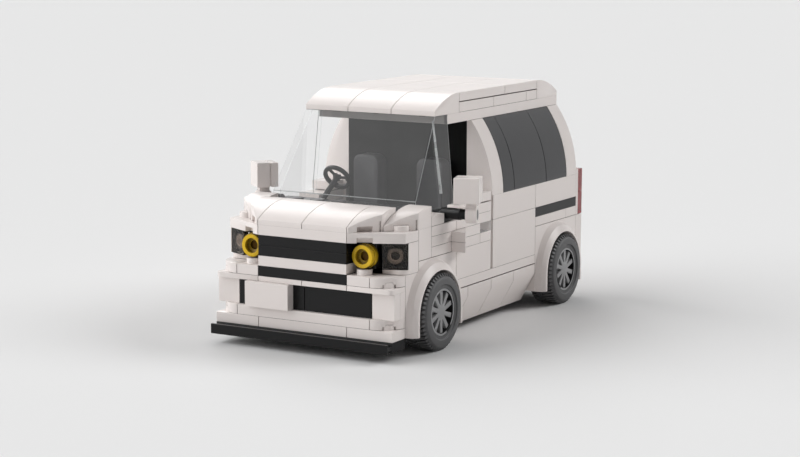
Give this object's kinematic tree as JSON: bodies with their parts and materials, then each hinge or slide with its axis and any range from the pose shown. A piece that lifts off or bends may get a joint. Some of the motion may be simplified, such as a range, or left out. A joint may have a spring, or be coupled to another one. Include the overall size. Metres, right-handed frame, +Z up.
{
  "type": "brick-built toy kei van",
  "caption": "Toy kei van built of studded bricks and plates, with a boxy nose, round lamps set in square corners, flared arches and freely rolling wheels.",
  "frame": {"origin": "on the ground, in the middle of the van's length and width", "axes": "+Z up; the nose faces -Y and the tail +Y; +X towards the van's own left side"},
  "size_m": [0.0858, 0.1358, 0.0766],
  "materials": {
    "white_abs": "moulded ABS, warm white, glossy",
    "black_abs": "moulded ABS, near black, glossy",
    "yellow_abs": "moulded ABS, golden yellow, glossy",
    "grey_abs": "moulded ABS, mid grey, glossy",
    "smoke_clear": "moulded polycarbonate, smoky clear, polished",
    "window_black": "moulded ABS, dark grey, glossy",
    "windscreen_clear": "moulded polycarbonate, clear, polished",
    "red_clear": "moulded polycarbonate, red clear, polished",
    "tyre_rubber": "moulded rubber, dark grey, matt"
  },
  "bodies": {
    "body": {"wing_plates": "white_abs", "wing_rows": "white_abs", "hood_slopes": "white_abs", "cowl": "white_abs", "bumper_rows": "white_abs", "bumper_ends": "white_abs", "number_plate": "white_abs", "bumper_shelf": "white_abs", "bumper_upper": "white_abs", "grille_white": "white_abs", "lamp_housings": "white_abs", "sill_tiles": "white_abs", "sills": "white_abs", "front_doors": "white_abs", "rear_doors": "white_abs", "belt_panels": "white_abs", "quarter_rows": "white_abs", "pillars": "white_abs", "roof_plates": "white_abs", "roof_rows": "white_abs", "roof_tiles": "white_abs", "roof_front": "white_abs", "roof_rear": "white_abs", "mirror_clips": "white_abs", "mirror_heads": "white_abs", "tail_brackets": "white_abs", "rear_bumper": "white_abs", "arches": "white_abs", "tailgate": "white_abs", "door_blocks": "white_abs", "splitter": "black_abs", "bumper_grille": "black_abs", "bumper_core": "black_abs", "grille_black": "black_abs", "lamp_blocks": "black_abs", "nose_core": "black_abs", "dashboard": "black_abs", "bulkhead": "black_abs", "wheel_wells": "black_abs", "mirror_arms": "black_abs", "steering_wheel": "black_abs", "side_stripes": "black_abs", "floor_plates": "black_abs", "axle_holders": "black_abs", "seats": "black_abs", "lamp_rings": "yellow_abs", "lamp_covers": "smoke_clear", "side_windows": "window_black", "windscreen": "windscreen_clear", "door_handles": "windscreen_clear", "tail_lamps": "red_clear"},
    "wheel_fl": {"rim_fl": "grey_abs", "tyre_fl": "tyre_rubber"},
    "wheel_fr": {"rim_fr": "grey_abs", "tyre_fr": "tyre_rubber"},
    "wheel_rl": {"rim_rl": "grey_abs", "tyre_rl": "tyre_rubber"},
    "wheel_rr": {"rim_rr": "grey_abs", "tyre_rr": "tyre_rubber"}
  },
  "joints": [
    {"name": "wheel_fl_spin", "type": "hinge", "parent": "body", "child": "wheel_fl", "pos_m": [0.0315, -0.0409, 0.012], "axis": [1, 0, 0], "continuous": true},
    {"name": "wheel_fr_spin", "type": "hinge", "parent": "body", "child": "wheel_fr", "pos_m": [-0.0315, -0.0409, 0.012], "axis": [1, 0, 0], "continuous": true},
    {"name": "wheel_rl_spin", "type": "hinge", "parent": "body", "child": "wheel_rl", "pos_m": [0.0315, 0.0471, 0.012], "axis": [1, 0, 0], "continuous": true},
    {"name": "wheel_rr_spin", "type": "hinge", "parent": "body", "child": "wheel_rr", "pos_m": [-0.0315, 0.0471, 0.012], "axis": [1, 0, 0], "continuous": true}
  ]
}
